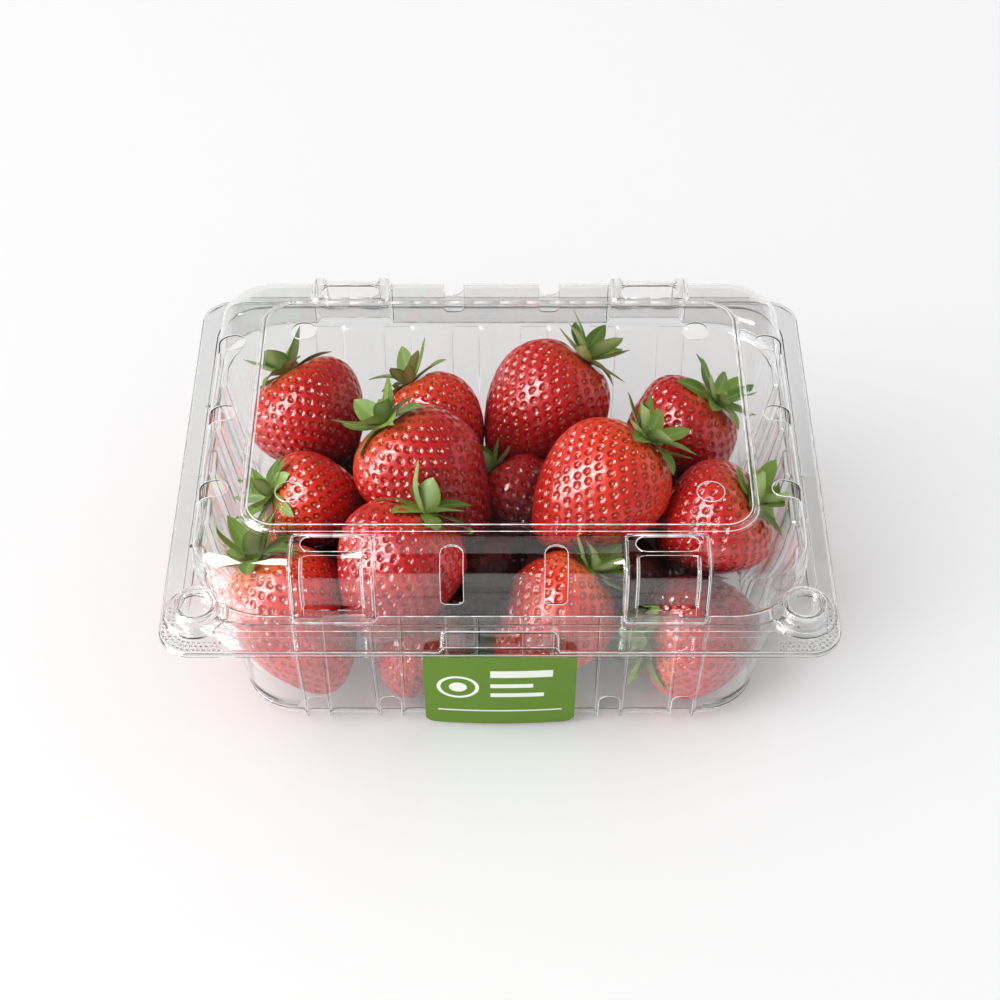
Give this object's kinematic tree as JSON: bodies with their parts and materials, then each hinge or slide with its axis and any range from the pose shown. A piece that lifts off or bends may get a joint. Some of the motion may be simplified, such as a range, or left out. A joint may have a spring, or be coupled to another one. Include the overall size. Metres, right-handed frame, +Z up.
{
  "type": "punnet of strawberries",
  "caption": "Clear hinged plastic punnet with a domed vented lid, heaped with ripe strawberries, with a plain green label on its front wall.",
  "frame": {"origin": "middle of the tub's underside, on the surface the pack stands on", "axes": "+X along the front to the right, +Y to the back where the lid's hinge is, +Z up"},
  "size_m": [0.187, 0.1464, 0.0813],
  "materials": {
    "clear_plastic": "clear, thin and glossy, with soft moulded edges",
    "fruit": "glossy red fruit skin with yellow seeds in pits, and green calyx leaves",
    "label_print": "satin green printed label with plain pale shapes"
  },
  "bodies": {
    "tub": {"tub": "clear_plastic", "label": "label_print", "strawberries": "fruit"},
    "lid": {"lid": "clear_plastic"}
  },
  "joints": [
    {"name": "lid_hinge", "type": "hinge", "parent": "tub", "child": "lid", "pos_m": [0, 0.07195, 0.059], "axis": [-1, 0, 0], "range_deg": [0, 180]}
  ]
}
